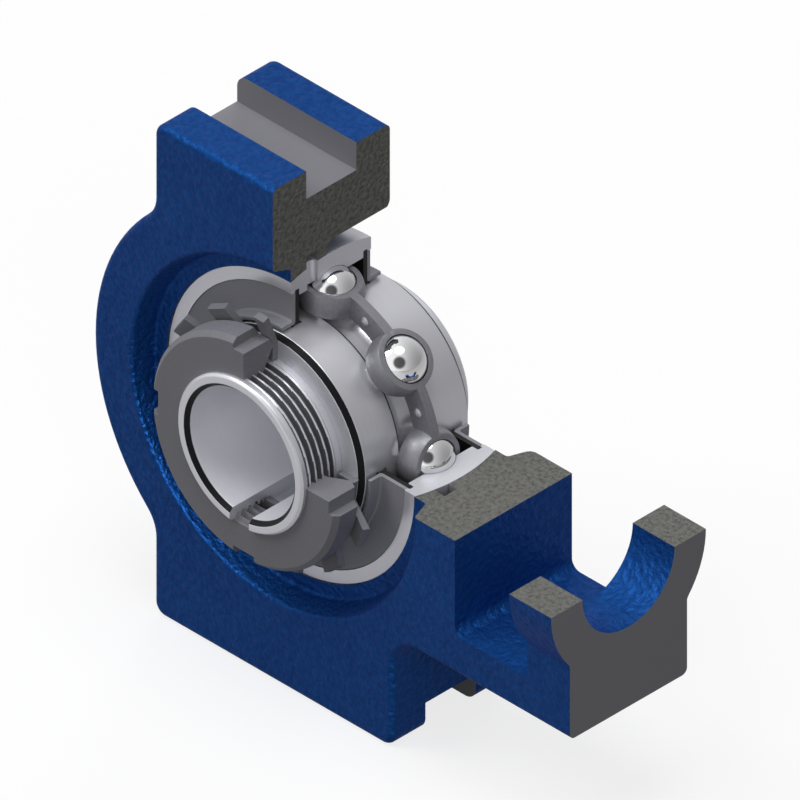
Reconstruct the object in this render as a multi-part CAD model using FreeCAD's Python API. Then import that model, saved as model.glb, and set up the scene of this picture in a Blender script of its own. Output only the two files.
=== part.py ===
import FreeCAD, Part
import math
import os

# Take-up ball bearing unit for a 25 mm shaft, shown as a sectioned display piece: one quarter of the
# housing, outer ring, seals, nut and washer is cut away, and what turns inside is left whole.
# Millimetres. The origin is the bearing centre, +X points to the take-up screw end, +Y runs along the
# shaft from the lock nut to the back, and +Z is up.

# Shaft and adapter sleeve
shaft_diameter = 25.0
sleeve_wall = 2.5
sleeve_nose = 1.0
sleeve_tail = 3.4
sleeve_slit = 4.6
sleeve_end_chamfer = 0.8
cone_taper = 12.0
cone_step = 0.25

# Inner ring
inner_ring_wall = 3.6
inner_ring_front = -12.75
inner_ring_back = 13.6
inner_ring_chamfer = 1.0
inner_ring_cone_play = 0.02

# Lock nut and lock washer
washer_thickness = 1.25
washer_rim = 4.0
washer_tab_root = 1.3
washer_tab_reach = 5.5
washer_tab_count = 13
washer_tab_width = 4.7
washer_tab_lean = 22.0
washer_bore_play = 0.3
washer_tongue_reach = 1.6
washer_tongue_play = 0.3
nut_wall = 7.5
nut_width = 7.0
nut_slot_count = 4
nut_slot_width = 5.0
nut_slot_depth = 2.0
nut_edge_chamfer = 0.9
nut_back_slope = 30.0
nut_countersink_depth = 1.9
nut_countersink_width = 3.4
nut_thread_play = 0.03

# Balls, races and cage
ball_diameter = 9.525
ball_count = 8
race_conformity = 1.04
race_play = 0.04
land_gap = 3.0
cage_sheet = 0.9
cage_band = 4.3
cage_band_offset = 0.35
pocket_play = 0.15
rivet_diameter = 1.1
rivet_head_diameter = 1.9
rivet_head_height = 0.45
rivet_head_rim = 0.15
rivet_play = 0.02

# Outer ring and seals
outer_ring_wall = 5.0
outer_ring_width = 19.0
outer_ring_lip = 0.9
seal_groove_reach = 1.4
seal_groove_depth = 0.85
seal_groove_width = 1.0
ring_oil_hole = 2.5
seal_play = 0.05
seal_plate_sheet = 0.7
seal_plate_gap = 0.5
seal_collar_length = 2.5
seal_lip_play = 0.06
seal_lip_height = 0.45
seal_lip_thickness = 0.3

# Housing
housing_width = 28.0
rail_length = 57.0
rail_groove_width = 12.0
rail_groove_depth = 5.7
rail_web = 14.0
rail_corner = 2.5
cheek_wall = 12.0
cheek_blend = 7.0
cast_edge = 1.2
seat_play = 0.05
shoulder_play = 0.2
recess_step = 1.3
recess_flare = 1.55
recess_floor_fillet = 0.8
recess_front_round = 0.8
recess_back_round = 1.8
oil_groove_width = 2.9
oil_groove_centre = -4.5
oil_groove_depth = 2.0
loading_slot_gap = 2.7
loading_slot_front = -1.3
loading_slot_play = 0.5
loading_slot_corner = 2.0

# Take-up screw end
bearing_wall = 12.5
slot_length = 17.5
slot_height = 39.0
slot_corner = 2.0
end_wall = 10.0
end_height = 55.0
end_blend = 6.0
screw_hole_diameter = 22.0
boss_wall = 7.5
boss_blend = 1.5

# Grease nipple on the round end
nipple_thread = 5.0
nipple_thread_depth = 5.0
nipple_across_flats = 7.0
nipple_hex_height = 2.2
nipple_hex_gap = 0.25
nipple_neck_length = 1.0
nipple_head_cone = 0.8
nipple_head_rim = 0.4
nipple_neck_diameter = 3.4
nipple_head_diameter = 4.4
nipple_height = 6.0
nipple_flat = 1.2
nipple_play = 0.02
nipple_bore_spare = 0.2
oil_passage = 2.2

# Worked out from the sizes above, from the shaft outwards
shaft_radius = shaft_diameter / 2
thread_radius = shaft_radius + sleeve_wall
washer_front = inner_ring_front - washer_thickness
nut_front = washer_front - nut_width
sleeve_front = nut_front - sleeve_nose
sleeve_back = inner_ring_back + sleeve_tail
cone_back_radius = thread_radius + cone_step + (inner_ring_back - washer_front) / cone_taper / 2
inner_land = cone_back_radius + inner_ring_wall
ball_radius = ball_diameter / 2
race_radius = ball_radius * race_conformity
pitch_radius = inner_land + land_gap
outer_land = pitch_radius + land_gap
cage_middle = pitch_radius + cage_band_offset
ring_radius = outer_land + outer_ring_wall
ring_side = outer_ring_width / 2
seat_radius = ring_radius + seat_play
seat_side = ring_side + shoulder_play
recess_floor = ring_radius + recess_step
recess_mouth = recess_floor + recess_flare
cheek_radius = ring_radius + cheek_wall
housing_side = housing_width / 2
rail_floor = ring_radius + rail_web
rail_top = rail_floor + rail_groove_depth
slot_start = ring_radius + bearing_wall
slot_end = slot_start + slot_length
end_reach = slot_end + end_wall
screw_radius = screw_hole_diameter / 2
boss_radius = screw_radius + boss_wall
far = 2 * end_reach


def point(x, y):
    return FreeCAD.Vector(x, y, 0)


def outline(start, *moves):
    """Flat face in the XY plane. A move of one point is a line, one of two points is an arc."""
    edges = []
    here = point(*start)
    for move in moves + ([start],):
        there = point(*move[-1])
        if len(move) == 1:
            edges.append(Part.LineSegment(here, there).toShape())
        else:
            edges.append(Part.Arc(here, point(*move[0]), there).toShape())
        here = there
    return Part.Face(Part.Wire(edges))


def turned(face):
    """Body of revolution about the shaft axis from a face of (radius, y) points, seam in the lower left."""
    axis = FreeCAD.Vector(0, 1, 0)
    origin = FreeCAD.Vector(0, 0, 0)
    face.rotate(origin, axis, 135)
    return face.revolve(origin, axis, 360)


def mirrored_back(shape):
    """The same piece on the other side of the bearing's middle plane."""
    return shape.mirror(FreeCAD.Vector(0, 0, 0), FreeCAD.Vector(0, 1, 0))


def box(x, y, z):
    """Block between pairs of limits along each axis."""
    corner = FreeCAD.Vector(x[0], y[0], z[0])
    return Part.makeBox(x[1] - x[0], y[1] - y[0], z[1] - z[0], corner)


def drum(radius, y_front, y_back):
    """Plain cylinder along the shaft axis."""
    return Part.makeCylinder(radius, y_back - y_front, FreeCAD.Vector(0, y_front, 0), FreeCAD.Vector(0, 1, 0))


def around_shaft(shape, angle):
    """Copy turned about the shaft so that what points up the X axis points at this angle towards +Z."""
    copy = shape.copy()
    copy.rotate(FreeCAD.Vector(0, 0, 0), FreeCAD.Vector(0, 1, 0), -angle)
    return copy


def quarter_removed(shape):
    """The piece with the quarter above and to the right of the shaft axis sawn out."""
    return shape.cut(box((0, far), (-far, far), (0, far)))


def edges_like(shape, test):
    return [edge for edge in shape.Edges if test(edge)]


def at_y(edge, places):
    box_of_edge = edge.BoundBox
    flat = box_of_edge.YLength < 0.01
    return flat and any(abs(edge.CenterOfMass.y - place) < 0.01 for place in places)


def circles(shape, radius, y):
    """Edges that run round the shaft axis with this radius at this place along it."""
    return edges_like(shape, lambda e: at_y(e, (y,)) and abs(e.BoundBox.XLength / 2 - radius) < 0.01)


def cone_radius(y):
    """Outside radius of the sleeve's taper, which grows by one in twelve on diameter to the back."""
    return thread_radius + cone_step + (y - washer_front) / cone_taper / 2


def race_half_width(land_radius, groove_centre_radius):
    return math.sqrt(race_radius ** 2 - (land_radius - groove_centre_radius) ** 2)


def sphere_radius_at(radius, y):
    return math.sqrt(radius ** 2 - y ** 2)


def housing_outline():
    """Half of the casting's front view above the shaft axis, mirrored to make the whole."""
    right = rail_length / 2
    top = rail_top
    c = rail_corner
    k = rail_corner * (1 - math.sqrt(0.5))
    end_top = end_height / 2
    blend_x = -right - cheek_blend
    blend_z = math.sqrt((cheek_radius + cheek_blend) ** 2 - blend_x ** 2)
    share = cheek_radius / (cheek_radius + cheek_blend)
    blend_angle = math.atan2(blend_z, blend_x)
    half_way = (blend_angle - math.pi) / 2
    middle_of_blend = (blend_x + cheek_blend * math.cos(half_way), blend_z + cheek_blend * math.sin(half_way))
    half_arc = (math.pi + blend_angle) / 2
    middle_of_cheek = (cheek_radius * math.cos(half_arc), cheek_radius * math.sin(half_arc))
    m = end_blend * (1 - math.sqrt(0.5))
    return outline(
        (-cheek_radius, 0),
        [middle_of_cheek, (blend_x * share, blend_z * share)],
        [middle_of_blend, (-right, blend_z)],
        [(-right, top - c)],
        [(-right + k, top - k), (-right + c, top)],
        [(right - c, top)],
        [(right - k, top - k), (right, top - c)],
        [(right, end_top + end_blend)],
        [(right + m, end_top + m), (right + end_blend, end_top)],
        [(end_reach, end_top)],
        [(end_reach, 0)])


def housing_casting():
    """The bare casting: rail block, round cheek and screw end with its boss, all outer edges rounded."""
    front = housing_side
    upper = housing_outline()
    upper.rotate(FreeCAD.Vector(0, 0, 0), FreeCAD.Vector(1, 0, 0), 90)
    upper.translate(FreeCAD.Vector(0, front, 0))
    upper = upper.extrude(FreeCAD.Vector(0, -housing_width, 0))
    lower = upper.mirror(FreeCAD.Vector(0, 0, 0), FreeCAD.Vector(0, 0, 1))
    body = upper.fuse(lower).removeSplitter()
    sides = edges_like(body, lambda e: at_y(e, (-front, front)) and e.CenterOfMass.x < end_reach - 0.01)
    body = body.makeFillet(cast_edge, sides)
    boss = Part.makeCylinder(boss_radius, end_wall, FreeCAD.Vector(slot_end, 0, 0), FreeCAD.Vector(1, 0, 0))
    body = body.fuse(boss)
    foot = math.sqrt(boss_radius ** 2 - front ** 2)
    roots = edges_like(body, lambda e: abs(e.CenterOfMass.x - end_reach + end_wall / 2) < 0.1
                       and abs(abs(e.CenterOfMass.y) - front) < 0.01
                       and abs(abs(e.CenterOfMass.z) - foot) < 0.01)
    return body.makeFillet(boss_blend, roots)


def bearing_seat():
    """What is bored out of the housing: the spherical seat, its grease groove and a recess at each face."""
    recess = turned(outline(
        (0, -housing_width),
        [(recess_mouth, -housing_width)],
        [(recess_mouth, -housing_side)],
        [(recess_floor, -seat_side)],
        [(0, -seat_side)]))
    half_groove = oil_groove_width / 2
    groove = drum(ring_radius + oil_groove_depth, oil_groove_centre - half_groove,
                  oil_groove_centre + half_groove)
    return [Part.makeSphere(seat_radius), recess, mirrored_back(recess), groove]


def loading_slots():
    """Straight slots at the back, top and bottom, through which the bearing is swung into its seat."""
    side = ring_side + loading_slot_play
    high = ring_radius + loading_slot_gap
    slot = box((-side, side), (loading_slot_front, housing_width), (-high, high))
    corners = edges_like(slot, lambda e: at_y(e, (loading_slot_front,)) and e.BoundBox.ZLength < 0.01)
    return slot.makeFillet(loading_slot_corner, corners)


def take_up_slot():
    """Window for the take-up screw's nut, open through the housing from front to back."""
    high = slot_height / 2
    window = box((slot_start, slot_end), (-housing_width, housing_width), (-high, high))
    return window.makeFillet(slot_corner, edges_like(window, lambda e: e.BoundBox.YLength > housing_width))


def rail_grooves():
    """Guide grooves milled along the top and bottom for the frame's rails."""
    side = rail_groove_width / 2
    return [box((-far, far), (-side, side), (rail_floor, far)),
            box((-far, far), (-side, side), (-far, -rail_floor))]


def nipple_bores():
    """Tapped hole in the round cheek and the drilling from it to the grease groove."""
    start = FreeCAD.Vector(-cheek_radius - nipple_height, oil_groove_centre, 0)
    inward = FreeCAD.Vector(1, 0, 0)
    depth = nipple_height + nipple_thread_depth + nipple_bore_spare
    tapped = Part.makeCylinder(nipple_thread / 2 + nipple_play, depth, start, inward)
    drilling = Part.makeCylinder(oil_passage / 2, nipple_height + cheek_wall, start, inward)
    return [tapped, drilling]


def make_housing():
    body = housing_casting()
    for tool in bearing_seat():
        body = body.cut(tool)
    for place, radius in ((-housing_side, recess_front_round), (housing_side, recess_back_round)):
        body = body.makeFillet(radius, circles(body, recess_mouth, place))
    floors = circles(body, recess_floor, -seat_side) + circles(body, recess_floor, seat_side)
    body = body.makeFillet(recess_floor_fillet, floors)
    along_x = FreeCAD.Vector(1, 0, 0)
    screw_hole = Part.makeCylinder(screw_radius, far, FreeCAD.Vector(slot_start, 0, 0), along_x)
    for tool in [loading_slots(), take_up_slot(), screw_hole] + rail_grooves() + nipple_bores():
        body = body.cut(tool)
    return quarter_removed(body)


def make_grease_nipple():
    """Pressed-steel nipple screwed into the round cheek: thread, hexagon, neck and coned head."""
    neck = nipple_neck_diameter / 2
    neck_top = nipple_hex_height + nipple_neck_length
    head = nipple_head_diameter / 2
    head_side = neck_top + nipple_head_cone
    stem = turned(outline(
        (0, -nipple_thread_depth),
        [(nipple_thread / 2, -nipple_thread_depth)],
        [(nipple_thread / 2, 0)],
        [(neck, 0)],
        [(neck, neck_top)],
        [(head, head_side)],
        [(head, head_side + nipple_head_rim)],
        [(nipple_flat / 2, nipple_height)],
        [(0, nipple_height)]))
    corner = nipple_across_flats / math.sqrt(3)
    turns = [math.radians(60 * k) for k in range(7)]
    ring = [FreeCAD.Vector(corner * math.cos(a), nipple_hex_gap, corner * math.sin(a)) for a in turns]
    hexagon = Part.Face(Part.makePolygon(ring)).extrude(FreeCAD.Vector(0, nipple_hex_height, 0))
    nipple = stem.fuse(hexagon).removeSplitter()
    nipple.rotate(FreeCAD.Vector(0, 0, 0), FreeCAD.Vector(0, 0, 1), 90)
    nipple.translate(FreeCAD.Vector(-cheek_radius, oil_groove_centre, 0))
    return nipple


def make_outer_ring():
    """Outer ring with spherical outside, deep raceway and a seal groove near each face."""
    half = ring_side
    edge = sphere_radius_at(ring_radius, half)
    land = outer_land
    lip = land + outer_ring_lip
    groove = land + seal_groove_reach
    groove_out = half - seal_groove_depth
    groove_in = groove_out - seal_groove_width
    bottom = pitch_radius + ball_radius + race_play
    race = race_half_width(land, bottom - race_radius)
    ring = turned(outline(
        (lip, -half),
        [(edge, -half)],
        [(ring_radius, 0), (edge, half)],
        [(lip, half)],
        [(lip, groove_out)],
        [(groove, groove_out)],
        [(groove, groove_in)],
        [(land, groove_in)],
        [(land, race)],
        [(bottom, 0), (land, -race)],
        [(land, -groove_in)],
        [(groove, -groove_in)],
        [(groove, -groove_out)],
        [(lip, -groove_out)]))
    oil_hole = Part.makeCylinder(ring_oil_hole / 2, far, FreeCAD.Vector(0, oil_groove_centre, 0))
    return quarter_removed(ring.cut(oil_hole))


def make_seal_lip():
    """Moulded rubber seal at the back: a bead in the ring's groove and two lips on the inner ring."""
    bead = outer_land + seal_groove_reach - seal_play
    outer_face = ring_side - seal_groove_depth - seal_play
    inner_face = outer_face - seal_groove_width + 2 * seal_play
    touch = inner_land + seal_lip_play
    t = seal_lip_thickness
    root = inner_land + seal_plate_gap - seal_play
    web = touch + seal_lip_height / 2
    return quarter_removed(turned(outline(
        (bead, inner_face),
        [(bead, outer_face)],
        [(root, outer_face)],
        [(root, outer_face + seal_lip_height)],
        [(touch, outer_face + seal_lip_height + t)],
        [(touch, outer_face + seal_lip_height)],
        [(web, outer_face)],
        [(web, inner_face)],
        [(touch, inner_face - seal_lip_height)],
        [(touch, inner_face - seal_lip_height - t)],
        [(root + t, inner_face)])))


def make_seal_plate():
    """Pressed-steel plate in front of the rubber at the back, with a collar around the inner ring."""
    inside = ring_side - seal_groove_depth - seal_play
    outside = inside + seal_plate_sheet
    rim = outer_land + outer_ring_lip - seal_play
    bore = inner_land + seal_plate_gap
    collar = bore + seal_plate_sheet
    bend = seal_plate_sheet / 2
    near = bend * (1 - math.sqrt(0.5))
    return quarter_removed(turned(outline(
        (rim, inside),
        [(rim, outside)],
        [(collar + bend, outside)],
        [(collar + near, outside + near), (collar, outside + bend)],
        [(collar, outside + seal_collar_length)],
        [(bore, outside + seal_collar_length)],
        [(bore, inside)])))


def make_inner_ring():
    """Inner ring with the raceway outside and a bore tapered to sit on the sleeve."""
    land = inner_land
    c = inner_ring_chamfer
    bottom = pitch_radius - ball_radius - race_play
    race = race_half_width(land, bottom + race_radius)
    bore_front = cone_radius(inner_ring_front) + inner_ring_cone_play
    bore_back = cone_radius(inner_ring_back) + inner_ring_cone_play
    return turned(outline(
        (bore_front, inner_ring_front),
        [(land - c, inner_ring_front)],
        [(land, inner_ring_front + c)],
        [(land, -race)],
        [(bottom, 0), (land, race)],
        [(land, inner_ring_back - c)],
        [(land - c, inner_ring_back)],
        [(bore_back, inner_ring_back)]))


def make_adapter_sleeve():
    """Slit sleeve: straight bore for the shaft, thread at the nut end and a taper under the ring."""
    bore = shaft_radius
    thread = thread_radius
    c = sleeve_end_chamfer
    sleeve = turned(outline(
        (bore, sleeve_front + c),
        [(bore + c, sleeve_front)],
        [(thread - c, sleeve_front)],
        [(thread, sleeve_front + c)],
        [(thread, washer_front)],
        [(cone_radius(washer_front), washer_front)],
        [(cone_radius(sleeve_back - c), sleeve_back - c)],
        [(cone_radius(sleeve_back) - c, sleeve_back)],
        [(bore + c, sleeve_back)],
        [(bore, sleeve_back - c)]))
    half_slit = sleeve_slit / 2
    return sleeve.cut(box((-half_slit, half_slit), (-far, far), (-far, 0)))


def make_lock_nut():
    """Slotted round nut on the sleeve's thread, bevelled towards the washer."""
    bore = thread_radius + nut_thread_play
    rim = thread_radius + nut_wall
    seat = thread_radius + washer_rim
    c = nut_edge_chamfer
    bevel = (rim - seat) * math.tan(math.radians(nut_back_slope))
    nut = turned(outline(
        (bore, nut_front),
        [(rim - c, nut_front)],
        [(rim, nut_front + c)],
        [(rim, washer_front - bevel)],
        [(seat, washer_front)],
        [(bore + nut_countersink_width, washer_front)],
        [(bore, washer_front - nut_countersink_depth)]))
    half = nut_slot_width / 2
    slot = box((rim - nut_slot_depth, far), (-far, far), (-half, half))
    for k in range(nut_slot_count):
        nut = nut.cut(around_shaft(slot, 360 * k / nut_slot_count))
    return quarter_removed(nut)


def washer_tab():
    """One leaning tab of the lock washer, drawn on the right and turned into place later."""
    bend = thread_radius + washer_rim
    root = bend - washer_tab_root
    tip = bend + washer_tab_reach
    lean = math.tan(math.radians(washer_tab_lean))
    reach = (tip - bend) * lean
    half = washer_tab_width / 2
    side = outline(
        (root, washer_front),
        [(bend, washer_front)],
        [(tip, washer_front - reach)],
        [(tip + washer_thickness * lean, inner_ring_front - reach)],
        [(bend, inner_ring_front)],
        [(root, inner_ring_front)])
    side.translate(FreeCAD.Vector(0, 0, -half))
    return side.extrude(FreeCAD.Vector(0, 0, washer_tab_width))


def make_lock_washer():
    """Flat steel washer with leaning tabs around it and a tongue inside that sits in the sleeve's slit."""
    bore = cone_radius(inner_ring_front) + washer_bore_play
    rim = thread_radius + washer_rim
    washer = drum(rim, washer_front, inner_ring_front).cut(drum(bore, -far, far))
    tab = washer_tab()
    for k in range(washer_tab_count):
        washer = washer.fuse(around_shaft(tab, 90 + 360 * k / washer_tab_count))
    half = sleeve_slit / 2 - washer_tongue_play
    tongue = box((-half, half), (washer_front, inner_ring_front), (-rim, washer_tongue_reach - bore))
    washer = washer.fuse(tongue).removeSplitter()
    return quarter_removed(washer)


def ball_angles():
    return [90 + 360 * k / ball_count for k in range(ball_count)]


def rivet_angles():
    return [angle + 180 / ball_count for angle in ball_angles()]


def make_ball(angle):
    return around_shaft(Part.makeSphere(ball_radius, FreeCAD.Vector(pitch_radius, 0, 0)), angle)


def make_cage_half():
    """Pressed half of the ball cage at the back: a flat band with a cup around each ball."""
    outside = cage_middle + cage_band / 2
    inside = cage_middle - cage_band / 2
    cup = ball_radius + pocket_play + cage_sheet
    blank = drum(outside, 0, cage_sheet)
    for angle in ball_angles():
        blank = blank.fuse(around_shaft(Part.makeSphere(cup, FreeCAD.Vector(pitch_radius, 0, 0)), angle))
    half = blank.common(drum(outside, 0, 2 * cup)).cut(drum(inside, -far, far))
    for angle in ball_angles():
        pocket = Part.makeSphere(ball_radius + pocket_play, FreeCAD.Vector(pitch_radius, 0, 0))
        half = half.cut(around_shaft(pocket, angle))
    for angle in rivet_angles():
        hole = drum(rivet_diameter / 2 + rivet_play, -far, far)
        hole.translate(FreeCAD.Vector(cage_middle, 0, 0))
        half = half.cut(around_shaft(hole, angle))
    return half


def make_rivets():
    """Rivets that hold the two cage halves together between the balls."""
    head_top = cage_sheet + rivet_head_height
    shank = rivet_diameter / 2
    head = rivet_head_diameter / 2
    crown = head / 2
    rivet = turned(outline(
        (0, -head_top),
        [(crown, -head_top)],
        [(head, -cage_sheet - rivet_head_rim)],
        [(head, -cage_sheet)],
        [(shank, -cage_sheet)],
        [(shank, cage_sheet)],
        [(head, cage_sheet)],
        [(head, cage_sheet + rivet_head_rim)],
        [(crown, head_top)],
        [(0, head_top)]))
    rivet.translate(FreeCAD.Vector(cage_middle, 0, 0))
    return Part.makeCompound([around_shaft(rivet, angle) for angle in rivet_angles()])


def all_pieces():
    seal_lip = make_seal_lip()
    seal_plate = make_seal_plate()
    cage_half = make_cage_half()
    pieces = {
        "housing": make_housing(),
        "grease_nipple": make_grease_nipple(),
        "outer_ring": make_outer_ring(),
        "front_seal_plate": mirrored_back(seal_plate),
        "front_seal_lip": mirrored_back(seal_lip),
        "rear_seal_plate": seal_plate,
        "rear_seal_lip": seal_lip,
        "inner_ring": make_inner_ring(),
        "adapter_sleeve": make_adapter_sleeve(),
        "lock_nut": make_lock_nut(),
        "lock_washer": make_lock_washer(),
        "cage_front_half": mirrored_back(cage_half),
        "cage_rear_half": cage_half,
        "cage_rivets": make_rivets(),
    }
    for number, angle in enumerate(ball_angles(), 1):
        pieces["ball_%d" % number] = make_ball(angle)
    return pieces


os.makedirs("parts", exist_ok=True)
for name, shape in all_pieces().items():
    if not shape.isValid():
        raise ValueError("the solid of %s is not valid" % name)
    shape.exportStep("parts/%s.step" % name)
    print(name, len(shape.Solids), "solid(s)", round(shape.Volume, 1), "mm3")
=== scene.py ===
import math

import bmesh
import bpy
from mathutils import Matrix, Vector


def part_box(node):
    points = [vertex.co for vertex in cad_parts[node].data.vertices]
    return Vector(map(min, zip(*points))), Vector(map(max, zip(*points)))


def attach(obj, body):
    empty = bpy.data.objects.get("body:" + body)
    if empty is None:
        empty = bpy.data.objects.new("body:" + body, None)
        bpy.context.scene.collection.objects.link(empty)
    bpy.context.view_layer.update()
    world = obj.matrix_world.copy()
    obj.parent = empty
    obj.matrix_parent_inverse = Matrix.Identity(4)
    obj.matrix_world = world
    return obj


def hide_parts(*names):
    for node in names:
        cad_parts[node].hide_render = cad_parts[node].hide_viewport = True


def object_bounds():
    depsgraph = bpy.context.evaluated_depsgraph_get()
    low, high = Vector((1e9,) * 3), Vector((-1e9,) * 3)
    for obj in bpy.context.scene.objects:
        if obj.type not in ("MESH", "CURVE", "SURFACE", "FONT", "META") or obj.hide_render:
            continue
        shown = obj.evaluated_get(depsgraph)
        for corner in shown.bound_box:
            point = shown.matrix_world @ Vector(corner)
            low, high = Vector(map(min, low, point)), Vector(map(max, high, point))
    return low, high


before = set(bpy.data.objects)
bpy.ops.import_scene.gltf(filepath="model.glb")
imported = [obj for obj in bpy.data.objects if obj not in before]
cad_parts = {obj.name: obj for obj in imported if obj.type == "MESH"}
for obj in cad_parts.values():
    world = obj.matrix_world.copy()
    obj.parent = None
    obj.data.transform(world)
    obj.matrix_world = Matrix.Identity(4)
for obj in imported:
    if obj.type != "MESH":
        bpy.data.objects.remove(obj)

cad_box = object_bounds()
mm = 0.001

# Camera. The unit is looked at from the nut side, from the right and from above, along the diagonal of a
# cube and with no perspective, which is how a drawing office shows a sectioned bearing. The centre of the
# bearing lies left of the middle of the picture.
picture_width = 800
pixels_per_mm = 5.92
bearing_centre_pixel = (331.3, 402.0)
camera_distance = 0.6

towards_camera = Vector((1, -1, 1)).normalized()
picture_right = Vector((1, 1, 0)).normalized()
picture_up = towards_camera.cross(picture_right)
picture_middle = (picture_right * (picture_width / 2 - bearing_centre_pixel[0])
                  + picture_up * (bearing_centre_pixel[1] - picture_width / 2)) * mm / pixels_per_mm
bpy.ops.object.select_all(action="DESELECT")
bpy.ops.object.camera_add(location=picture_middle + towards_camera * camera_distance)
camera = bpy.context.object
camera.rotation_mode = "QUATERNION"
camera.rotation_quaternion = (-towards_camera).to_track_quat("-Z", "Y")
camera.data.type = "ORTHO"
camera.data.ortho_scale = picture_width * mm / pixels_per_mm
bpy.context.scene.camera = camera
bpy.context.scene.view_settings.view_transform = "Standard"

# Bench and studio light. The unit rests on a plain pale bench top under a large soft lamp. A second one hangs
# at the front left, two weak ones lift the shadows at the front right and rear, and a broad one glosses the
# paint. The room is white to the eye. In steel it greys towards the right and round the photographer,
# and the bench seen in steel fades to the right, as painted fall-off of the lamps' light.
bench_half_width = 3.0
bench_white = "#FFFFFF"
bench_bounce = "#5A5A5A"
bench_shadow_share = 0.22
painted_bench_glow_left = 0.66
painted_bench_glow_right = 0.34
painted_glow_fade_from = -0.1
painted_glow_fade_to = 0.2
room_white = "#FFFFFF"
room_fill = 0.15
room_right_grey = 0.3
room_grey_from = -0.4
room_grey_to = 1.0
photographer_grey = 0.12
photographer_edge = 0.86
photographer_middle = 0.95
sheen_distance = 1.5


def colour(screen_value):
    """A colour as it is written for a screen, such as #1A4F96, in the linear numbers that shaders use."""
    parts = [int(screen_value[i:i + 2], 16) / 255 for i in (1, 3, 5)]
    return [p / 12.92 if p <= 0.04045 else ((p + 0.055) / 1.055) ** 2.4 for p in parts] + [1.0]


def add_node(tree, kind, settings=None, inputs=None):
    """A node with its settings, its sockets set to values or linked to the sockets that are given."""
    made = tree.nodes.new("ShaderNode" + kind)
    for name, value in (settings or {}).items():
        setattr(made, name, value)
    for name, value in (inputs or {}).items():
        if isinstance(value, bpy.types.NodeSocket):
            tree.links.new(value, made.inputs[name])
        else:
            made.inputs[name].default_value = value
    return made


def seen_directly(tree):
    """One for what the camera sees, also in polished steel, and nought for light that bounces."""
    path = add_node(tree, "LightPath").outputs
    seen = add_node(tree, "Math", {"operation": "MAXIMUM"}, {
        0: path["Is Camera Ray"], 1: path["Is Glossy Ray"]}).outputs[0]
    return add_node(tree, "Math", {"operation": "MAXIMUM"}, {
        0: seen, 1: path["Is Transmission Ray"]}).outputs[0]


bpy.ops.mesh.primitive_plane_add(size=2 * bench_half_width, location=(0, 0, cad_box[0].z))
bench = bpy.context.object
bench.name = "bench_top"
bench_material = bpy.data.materials.new("matt_white_laminate")
bench_material.use_nodes = True
tree = bench_material.node_tree
tree.nodes.clear()
lit = add_node(tree, "BsdfDiffuse", inputs={"Color": colour(bench_bounce)})
lit_white = add_node(tree, "BsdfDiffuse", inputs={"Color": colour(bench_white)})
place = add_node(tree, "TexCoord").outputs["Object"]
# Painted light: what steel sees of the bench dims towards the right, as the lamps' light falls off across it.
rightness = add_node(tree, "VectorMath", {"operation": "DOT_PRODUCT"}, {0: place, 1: tuple(picture_right)})
painted_bench_glow = add_node(tree, "MapRange", inputs={
    "Value": rightness.outputs["Value"], "From Min": painted_glow_fade_from, "From Max": painted_glow_fade_to,
    "To Min": painted_bench_glow_left, "To Max": painted_bench_glow_right})
path = add_node(tree, "LightPath").outputs
strength = add_node(tree, "Mix", {"data_type": "FLOAT"}, {
    0: path["Is Camera Ray"], 2: painted_bench_glow.outputs[0], 3: 1.0})
glow = add_node(tree, "Emission", inputs={"Color": colour(bench_white), "Strength": strength.outputs[0]})
white = add_node(tree, "MixShader", inputs={
    0: bench_shadow_share, 1: glow.outputs[0], 2: lit_white.outputs[0]})
both = add_node(tree, "MixShader", inputs={0: seen_directly(tree), 1: lit.outputs[0], 2: white.outputs[0]})
add_node(tree, "OutputMaterial", inputs={"Surface": both.outputs[0]})
bench.data.materials.append(bench_material)

world = bpy.data.worlds.new("pale_studio")
world.use_nodes = True
bpy.context.scene.world = world
tree = world.node_tree
tree.nodes.clear()
direction = add_node(tree, "TexCoord").outputs["Generated"]
rightness = add_node(tree, "VectorMath", {"operation": "DOT_PRODUCT"}, {
    0: direction, 1: tuple(picture_right)})
sideways = add_node(tree, "MapRange", inputs={
    "Value": rightness.outputs["Value"], "From Min": room_grey_from, "From Max": room_grey_to,
    "To Min": 1.0, "To Max": room_right_grey})
nearness = add_node(tree, "VectorMath", {"operation": "DOT_PRODUCT"}, {
    0: direction, 1: tuple(towards_camera)})
photographer = add_node(tree, "MapRange", {"interpolation_type": "SMOOTHSTEP"}, {
    "Value": nearness.outputs["Value"], "From Min": photographer_edge, "From Max": photographer_middle,
    "To Min": 1.0, "To Max": photographer_grey})
shade = add_node(tree, "Math", {"operation": "MULTIPLY"}, {
    0: sideways.outputs[0], 1: photographer.outputs[0]})
path = add_node(tree, "LightPath").outputs
glossy_strength = add_node(tree, "Mix", {"data_type": "FLOAT"}, {
    0: path["Is Camera Ray"], 2: shade.outputs[0], 3: 1.0})
strength = add_node(tree, "Mix", {"data_type": "FLOAT"}, {
    0: seen_directly(tree), 2: room_fill, 3: glossy_strength.outputs[0]})
background = add_node(tree, "Background", inputs={
    "Color": colour(room_white), "Strength": strength.outputs[0]})
add_node(tree, "OutputWorld", inputs={"Surface": background.outputs[0]})


def hang_lamp(name, place, width, watts, in_gloss=True):
    """A round soft lamp that points at the unit. One that only fills shadows isn't mirrored in anything."""
    bpy.ops.object.light_add(type="AREA", location=place)
    lamp = bpy.context.object
    lamp.name = name
    lamp.data.shape = "DISK"
    lamp.data.size = width
    lamp.data.energy = watts
    lamp.visible_glossy = in_gloss
    lamp.rotation_mode = "QUATERNION"
    lamp.rotation_quaternion = (-Vector(place)).to_track_quat("-Z", "Y")
    return lamp


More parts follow.
